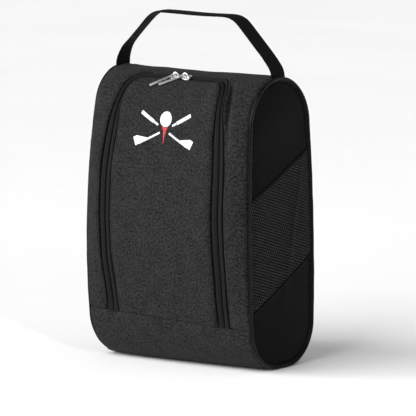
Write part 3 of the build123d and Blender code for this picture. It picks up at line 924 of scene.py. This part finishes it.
def make_side_mesh(hand):
    """Open spacer mesh: a net of rounded holes in slanting rows."""
    row_way = np.array([cos(MESH_TILT), sin(MESH_TILT)]) * MESH_STRETCH
    col_way = np.array([sin(MESH_LEAN), cos(MESH_LEAN)])
    corners = np.array([(1, 0), (1, 1), (0, 1), (-1, 1), (-1, 0), (-1, -1), (0, -1), (1, -1)]) * 0.5
    turn = np.arctan2(corners[:, 1], corners[:, 0])
    hole = coords(np.cos(turn), np.sin(turn)) * MESH_HOLE / MESH_PITCH
    points, faces = [], []
    count = int(MESH_REACH / MESH_PITCH)
    middle = np.array([0.0, (MESH_TOP + MESH_BASE) / 2])
    for i in range(-count, count):
        for j in range(-count, count):
            cell = np.array([i + 0.5 * (j % 2), float(j)])
            centre = middle + MESH_PITCH * (cell[0] * row_way + cell[1] * col_way)
            above = centre[1] - seam_line(MESH_BASE, MESH_BASE_SLOPE)(centre[0])
            below = seam_line(MESH_TOP, MESH_TOP_SLOPE)(centre[0]) - centre[1]
            if min(above, below) < -MESH_UNDER_SEAM or abs(centre[0]) > END_DEPTH:
                continue
            if abs(centre[0]) > half_depth(hand, centre[1]) - MESH_FROM_EDGE:
                continue
            first = len(points)
            for ring in (corners, hole):
                for p, q in ring:
                    points.append(centre + MESH_PITCH * (p * row_way + q * col_way))
            faces += grid_faces(2, 8, close_cols=True, start=first)
    y, z = np.array(points).T
    laid = on_side(hand, y, z)
    make_side_piece("mesh_vent", hand, laid, faces, VENT_LOOKS, 0.02, VENT_THICK, None, "side_mesh")


def half_depth(hand, z):
    """Half of the side panel's width front to back at height z."""
    loop = PANEL_LOOPS[hand]
    front = loop[loop[:, 0] <= 0]
    front = front[np.argsort(front[:, 1])]
    return np.interp(z, front[:, 1], np.abs(front[:, 0]))


def make_seam_tape(name, hand, level, slope, side):
    """Folded edge of the smooth cloth laid over the mesh, with its row of stitches."""
    ends = chord(hand, seam_line(level, slope))
    y = np.linspace(ends[0] + 0.4, ends[1] - 0.4, 70)
    out = np.array([-3.4, -2.6, -1.6, -0.6, 0.2, 0.75, 1.0])
    lift = np.array([0.25, 0.62, 0.78, 0.80, 0.72, 0.45, -0.3])
    yy, dd = np.meshgrid(y, out, indexing="ij")
    laid = on_side(hand, yy, level + yy * tan(slope) - side * dd, lift[None, :])
    make_side_piece(name, hand, laid, grid_faces(*yy.shape), SIDE_LOOKS, 0, SEAM_THICK, None)
    path, _ = on_side(hand, y, level + y * tan(slope) + side * STITCH_IN, STITCH_LIFT)
    up = np.tile([WAY[hand], 0, 0], (len(y), 1))
    row = stitch_row(f"{name}_stitches_{hand}", path, up, length=2.4, gap=0.5, width=0.5)
    belongs(row, "side_cloth", "bag")


# ---- Ring sweeps: piping and binding ----
def ring_sweep(name, hand, x_mid, inset, section, material, wobble=0.0, seed=1):
    """Sweep a closed section, as (x, outward) pairs, round the piped end seam."""
    end = ENDS[hand]
    s = np.linspace(0, 2 * end.half, 420, endpoint=False)
    y, z, ny, nz = end.at(s, inset)
    shift = wobble * waves(s, s * 0, 46, 5, seed)
    x = WAY[hand] * (x_mid + section[None, :, 0] + 0.5 * shift[:, None])
    out = section[None, :, 1] + shift[:, None]
    points = coords(x, y[:, None] + ny[:, None] * out, z[:, None] + nz[:, None] * out)
    points[..., 2] = np.maximum(points[..., 2], 0.05)
    points[..., 1] += lean(points[..., 0], points[..., 2])
    around = np.cumsum(np.full(len(section), 0.8))
    flat = coords(np.broadcast_to(s[:, None], x.shape), np.broadcast_to(around, x.shape), 0 * x)
    faces = grid_faces(len(s), len(section), True, True)
    return make_object(f"{name}_{hand}", points, faces, material, flat)


CORD_SHARE = 0.6
BINDING_REACH, BINDING_INSET = 5.4, 2.2


def squared(value, power):
    """Sine or cosine flattened towards -1 and 1, for sections with full corners."""
    return np.sign(value) * np.abs(value) ** power


def make_rings(hand):
    angle = 2 * pi * np.arange(18) / 18
    tube = coords(PIPE_R * np.cos(angle), PIPE_R * np.sin(angle))
    piece = ring_sweep("piping_tube", hand, PIPE_X, PIPE_R + PIPE_GAP, tube, vinyl, 0.10, 31)
    belongs(piece, "piping", "bag", f"piping_{hand}")
    cord = tube * CORD_SHARE
    piece = ring_sweep("piping_cord", hand, PIPE_X, PIPE_R + PIPE_GAP, cord, core_plastic, 0.10, 31)
    belongs(piece, "piping_core", "bag", f"piping_core_{hand}")
    thick = binding_high[0] - binding_low[0]
    middle = (binding_high[0] + binding_low[0]) / 2
    across, out = thick / 2 * squared(np.cos(angle), 0.5), BINDING_REACH * squared(np.sin(angle), 0.6)
    band = coords(across, out)
    inset = BINDING_INSET + BINDING_REACH
    piece = ring_sweep("binding_tape", hand, middle, inset, band, binding_cloth, 0.22, 33)
    belongs(piece, "binding_tape", "bag", f"seam_binding_{hand}")


# ---- Handle ----
STRAP_WIDE = strap_high[1] - strap_low[1]
STRAP_THICK = anchor_high[0] - anchor_low[0]
STRAP_TOP = strap_high[2] - STRAP_THICK / 2
STRAP_FOOT_X = (anchor_high[0] + anchor_low[0]) / 2
STRAP_CORNER_X = 49.0
STRAP_CORNER_R = 28.0
TAIL_Z = anchor_low[2]
LEG_Z = strap_low[2]


LEFT_BOW, RIGHT_BOW = -10.0, 3.0
LEG_TWIST = radians(13)
STRAP_SAG, STRAP_CUP = 0.9, 0.7


def strap_path():
    """Middle line of the webbing in x and z, from the left tail over the top to the right tail."""
    leg = np.array([STRAP_FOOT_X - STRAP_CORNER_X, STRAP_TOP - LEG_Z])
    leg = leg / np.linalg.norm(leg)
    lean = np.arctan2(leg[1], leg[0])
    cut = STRAP_CORNER_R * tan(lean / 2)
    centre = np.array([-(STRAP_CORNER_X - cut), STRAP_TOP - STRAP_CORNER_R])
    arc = np.linspace(pi / 2 + lean, pi / 2, 16)
    corner = centre + STRAP_CORNER_R * coords(np.cos(arc), np.sin(arc))
    foot = np.array([-STRAP_FOOT_X, LEG_Z + 1.0])
    tail = np.array([-STRAP_FOOT_X, TAIL_Z])
    half = np.concatenate([
        np.linspace(tail, foot, 8)[:-1],
        np.linspace(foot, corner[0], 26)[:-1],
        corner,
        np.linspace(corner[-1], (0, STRAP_TOP), 14)[1:],
    ])
    return np.concatenate([half, (half * [-1, 1])[::-1][1:]])


def smooth_path(path, times):
    for _ in range(times):
        inner = (path[:-2] + 2 * path[1:-1] + path[2:]) / 4
        path = np.concatenate([path[:1], inner, path[-1:]])
    return path


def make_handle():
    path = smooth_path(strap_path(), 6)
    run = np.concatenate([[0], np.cumsum(np.linalg.norm(np.diff(path, axis=0), axis=1))])
    tangent = np.gradient(path, axis=0)
    tangent = tangent / np.linalg.norm(tangent, axis=1)[:, None]
    normal = coords(-tangent[:, 1], tangent[:, 0])
    half_w, half_t = STRAP_WIDE / 2, STRAP_THICK / 2
    count = 26
    angle = 2 * pi * np.arange(count) / count
    wide = half_w * squared(np.cos(angle), 0.35)
    thin = half_t * squared(np.sin(angle), 0.55) * (1 - 0.25 * np.abs(np.cos(angle)))
    free = np.clip((path[:, 1] - LEG_Z) / 25, 0, 1)
    bow = np.where(path[:, 0] < 0, LEFT_BOW, RIGHT_BOW)
    path[:, 0] += bow * smooth((path[:, 1] - LEG_Z + 4) / 26) * smooth(np.abs(path[:, 0]) / 50)
    left_leg = free * near(path[:, 0] + 82, 40)
    twist = LEG_TWIST * left_leg
    sag = -STRAP_SAG * near(path[:, 0] - 8, 34) * free
    cup = STRAP_CUP * (np.cos(angle)[None, :] ** 2) * free[:, None]
    across = wide[None, :] * np.ones((len(path), 1))
    off = thin[None, :] - cup
    x = path[:, 0, None] + normal[:, 0, None] * off - across * np.sin(twist)[:, None]
    y = across * np.cos(twist)[:, None] + (0.8 * waves(run, run * 0, 120, 3, 41) * free)[:, None]
    z = path[:, 1, None] + normal[:, 1, None] * off + sag[:, None]
    points = coords(x, y, z)
    flat = coords(np.broadcast_to(wide, x.shape), np.broadcast_to(run[:, None], x.shape), 0 * x)
    rows = len(path)
    faces = grid_faces(rows, count, close_cols=True)
    faces += [tuple(range(count))[::-1], tuple((rows - 1) * count + i for i in range(count))]
    piece = make_object("handle_webbing", points, faces, webbing_cloth, flat)
    belongs(piece, "webbing", None, "handle_strap", "handle_anchor_left", "handle_anchor_right")
    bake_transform(piece)
    return piece


# ---- Stitched mark ----
FLAP_S = np.linspace(0, S_SEAM, 2000)
FLAP_Z = WRAP.at(FLAP_S)[1]


def on_flap(x, z, h):
    """Point on the flap's cloth under x, z, raised by h."""
    s = np.interp(-z, -FLAP_Z, FLAP_S)
    return surface(x, s, flap_height(x, s) + h), s


def patch_on_flap(name, x, z, edge, material, slot, rise, *nodes):
    """Raised satin stitching over a grid of x, z; edge is 0 at the rim and 1 inside."""
    h = rise * np.sqrt(np.clip(edge, 0, 1)) - 0.15
    points, s = on_flap(x, z, h)
    flat = coords(x, s, 0 * x)
    piece = make_object(name, points, grid_faces(*x.shape), material, flat)
    finish_mesh(piece, 0.001, 0, None, away_from_middle)
    belongs(piece, slot, "flap", *nodes)


def quad_grid(corners, rows, cols):
    """Bilinear grid over four corners, with how far in from the rim each point is."""
    a, b, c, d = [np.array(p, float) for p in corners]
    u, v = np.meshgrid(np.linspace(0, 1, rows), np.linspace(0, 1, cols), indexing="ij")
    u3, v3 = u[..., None], v[..., None]
    p = (1 - u3) * ((1 - v3) * a + v3 * b) + u3 * ((1 - v3) * d + v3 * c)
    rim = np.minimum(np.minimum(u, 1 - u) * rows, np.minimum(v, 1 - v) * cols) / 2.5
    return p[..., 0], p[..., 1], rim


CLUB_LENGTH, CLUB_LEAN, CLUB_CROSS_Z = 80.0, radians(64), 260.0
SHAFT, GRIP, GRIP_LENGTH = 1.3, 2.1, 22.0
HEAD_LENGTH, HEAD_WIDTH, HEAD_TOE = 13.0, 9.5, 5.0
CLUB_CLEAR = 7.0


def make_ball_and_tee():
    ball_low, ball_high = low_high("emblem_ball")
    tee_low, tee_high = low_high("emblem_tee")
    ball_z, ball_r = (ball_low[2] + ball_high[2]) / 2, (ball_high[0] - ball_low[0]) / 2
    r, a = np.meshgrid(np.linspace(0, 1, 14), np.linspace(0, 2 * pi, 49), indexing="ij")
    patch_on_flap("mark_ball", ball_r * r * np.cos(a), ball_z + ball_r * r * np.sin(a), (1 - r) * 5,
                  white_thread, "emblem_white", 0.9, "emblem_ball")
    cup, stem = tee_high[0], tee_high[0] * 0.4
    top, foot = ball_z - ball_r + 1.6, tee_low[2]
    shoulder = ball_z - ball_r - 4.0
    rim = ball_r + 0.4
    x, z, edge = quad_grid([(-cup, top), (cup, top), (stem, shoulder), (-stem, shoulder)], 9, 13)
    under_ball = ball_z - np.sqrt(np.clip(rim**2 - x**2, 0, None))
    z = np.minimum(z, under_ball)
    patch_on_flap("mark_tee_cup", x, z, edge + 0.2, red_thread, "emblem_red", 0.75, "emblem_tee")
    x, z, edge = quad_grid([(-stem, shoulder), (stem, shoulder), (0.15, foot), (-0.15, foot)], 16, 9)
    patch_on_flap("mark_tee_stem", x, z, edge, red_thread, "emblem_red", 0.75)


def make_club(name, way):
    """One crossed club, laid out along its shaft from the crossing."""
    along = np.array([-way * sin(CLUB_LEAN), -cos(CLUB_LEAN)])
    over = np.array([cos(CLUB_LEAN), -way * sin(CLUB_LEAN)]) * way
    half = CLUB_LENGTH / 2
    neck = half - HEAD_LENGTH

    def spot(down, out):
        return np.array([0.0, CLUB_CROSS_Z]) + along * down + over * out

    def bar(start, end, wide):
        return [spot(start, -wide), spot(start, wide), spot(end, wide), spot(end, -wide)]

    head = [spot(neck - 3, -SHAFT), spot(half - HEAD_TOE / 2, -HEAD_WIDTH),
            spot(half + HEAD_TOE / 2, -HEAD_WIDTH), spot(half + HEAD_TOE / 2, SHAFT)]
    parts = [("shaft_low", bar(CLUB_CLEAR, half - 2, SHAFT), 34, 7),
             ("shaft_high", bar(GRIP_LENGTH - half, -CLUB_CLEAR - 4, SHAFT), 12, 7),
             ("grip", bar(-half, GRIP_LENGTH - half, GRIP), 24, 9),
             ("head", head, 14, 14)]
    for part, corners, rows, cols in parts:
        x, z, edge = quad_grid(corners, rows, cols)
        nodes = ["emblem_clubs"] if part == "head" else []
        patch_on_flap(f"mark_{part}_{name}", x, z, edge, white_thread, "emblem_white", 0.7, *nodes)


# ---- Inside ----
def make_label():
    low, high = low_high("care_label")
    y, z = np.meshgrid(np.linspace(low[1], high[1], 24), np.linspace(low[2], high[2], 16), indexing="ij")
    along, down = (y - low[1]) / (high[1] - low[1]), (high[2] - z) / (high[2] - low[2])
    x = high[0] + 0.9 * np.sin(along * pi) + 0.5 * down**2
    points, flat = coords(x, y, z), coords(y, z, 0 * y)
    piece = make_object("care_label_cloth", points, grid_faces(*x.shape), label_cloth, flat)
    finish_mesh(piece, 0, 0.35, None, lambda p: (1, 0, 0))
    belongs(piece, "label_cloth", "bag", "care_label")


# ---- Camera, light and floor ----
CAMERA_YAW, CAMERA_PITCH = radians(35.91), radians(7.92)
CAMERA_AIM, CAMERA_AWAY = Vector((0.0114, 0.0, 0.1687)), 5.236
CAMERA_LENS, CAMERA_SENSOR, CAMERA_REACH = 413.9, 36.0, 60.0
SUN_POWER, SUN_SPREAD, SUN_WAY = 4.4, radians(80), Vector((0.366, 0.785, -0.42))
ROOM_LIGHT = 0.35
FLOOR_HALF = 12.0


def make_camera():
    level = cos(CAMERA_PITCH)
    look = Vector((-sin(CAMERA_YAW) * level, cos(CAMERA_YAW) * level, -sin(CAMERA_PITCH)))
    data = bpy.data.cameras.new("camera")
    data.lens, data.sensor_width, data.clip_end = CAMERA_LENS, CAMERA_SENSOR, CAMERA_REACH
    camera = bpy.data.objects.new("camera", data)
    bpy.context.collection.objects.link(camera)
    camera.location = CAMERA_AIM - look * CAMERA_AWAY
    camera.rotation_euler = look.to_track_quat("-Z", "Y").to_euler()
    bpy.context.scene.camera = camera


def make_light(name, place, aim, size, size_y, power):
    data = bpy.data.lights.new(name, "AREA")
    data.shape, data.size, data.size_y, data.energy = "RECTANGLE", size, size_y, power
    lamp = bpy.data.objects.new(name, data)
    bpy.context.collection.objects.link(lamp)
    lamp.location = place
    lamp.rotation_euler = (Vector(aim) - Vector(place)).to_track_quat("-Z", "Y").to_euler()


def make_studio():
    half = FLOOR_HALF
    corners = [(-half, -half, 0), (half, -half, 0), (half, half, 0), (-half, half, 0)]
    paper = Shade("floor_paper", Roughness=0.9)
    place = paper.node("ShaderNodeTexCoord").outputs["Object"]
    paper.colour(paper.ramp(paper.noise(place, 0.4, 2.0), [(0.3, even(0.94)), (0.7, even(0.97))]))
    mesh = bpy.data.meshes.new("floor")
    mesh.from_pydata(corners, [], [(0, 1, 2, 3)])
    mesh.materials.append(paper.material)
    floor = bpy.data.objects.new("floor", mesh)
    bpy.context.collection.objects.link(floor)
    world = bpy.data.worlds.new("studio")
    bpy.context.scene.world = world
    world.use_nodes = True
    world.node_tree.nodes["Background"].inputs["Color"].default_value = (1.0, 1.0, 1.0, 1.0)
    world.node_tree.nodes["Background"].inputs["Strength"].default_value = ROOM_LIGHT
    bpy.context.scene.view_settings.view_transform = "Standard"
    sky = bpy.data.lights.new("soft_sky", "SUN")
    sky.energy, sky.angle = SUN_POWER, SUN_SPREAD
    lamp = bpy.data.objects.new("soft_sky", sky)
    bpy.context.collection.objects.link(lamp)
    lamp.rotation_euler = SUN_WAY.to_track_quat("-Z", "Y").to_euler()
    make_light("front_strip", (1.9, -1.35, 1.25), (0.1, 0, 0.25), 0.14, 0.8, 14)
    make_light("left_strip", (-2.1, -1.5, 1.3), (-0.1, 0, 0.25), 0.2, 1.2, 10)


# ---- Everything in its place ----
ZIP_STITCH = 2.8

make_camera()
make_studio()

flap_cloth = make_flap()
make_frame_cloth()
make_plain_wrap("back_cloth", -S_SEAM, S_BACK, cloth_height, "back_panel")
make_plain_wrap("base_cloth", S_SEAM, 2 * WRAP.half - S_SEAM, base_height, "base_panel")

hinge_y = float(WRAP.at(S_SEAM)[0])
zip_pairs = [
    (make_tape("zip_tape_inner_cloth", -1, "zip_tape_flap"),
     make_tape("zip_tape_outer_cloth", 1, "zip_tape_frame")),
    (make_coil("zip_coil_inner_spiral", -1, "zip_coil_flap"),
     make_coil("zip_coil_outer_spiral", 1, "zip_coil_frame")),
    (make_zip_stitches("flap_stitches", -ZIP_OPEN - ZIP_STITCH, flap_height),
     make_zip_stitches("frame_stitches", ZIP_OPEN + ZIP_STITCH, frame_height)),
]
flap_side, frame_side = zip(*zip_pairs)
for piece in (flap_cloth, *flap_side):
    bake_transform(piece)
for piece in frame_side:
    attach(piece, "bag")

for hand in ("left", "right"):
    upper_rows = panel_rows(hand, MESH_TOP, END_TOP + PAST_PANEL, MESH_TOP_SLOPE)
    lower_rows = panel_rows(hand, MESH_BASE, -PAST_PANEL, MESH_BASE_SLOPE)
    make_side_panel("side_upper_cloth", hand, upper_rows, "side_upper")
    make_side_panel("side_lower_cloth", hand, lower_rows, "side_lower")
    make_side_mesh(hand)
    make_seam_tape("upper_vent_seam", hand, MESH_TOP, MESH_TOP_SLOPE, 1)
    make_seam_tape("lower_vent_seam", hand, MESH_BASE, MESH_BASE_SLOPE, -1)
    make_rings(hand)

make_handle()
make_ball_and_tee()
make_club("left", 1)
make_club("right", -1)
make_label()

for node, material in (("slider_left", plated), ("slider_right", plated), ("slider_bail_left", plated),
                       ("slider_bail_right", plated), ("pull_left", plated), ("pull_right", plated),
                       ("base_stiffener", board_plastic)):
    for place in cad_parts[node].material_slots:
        place.material = material
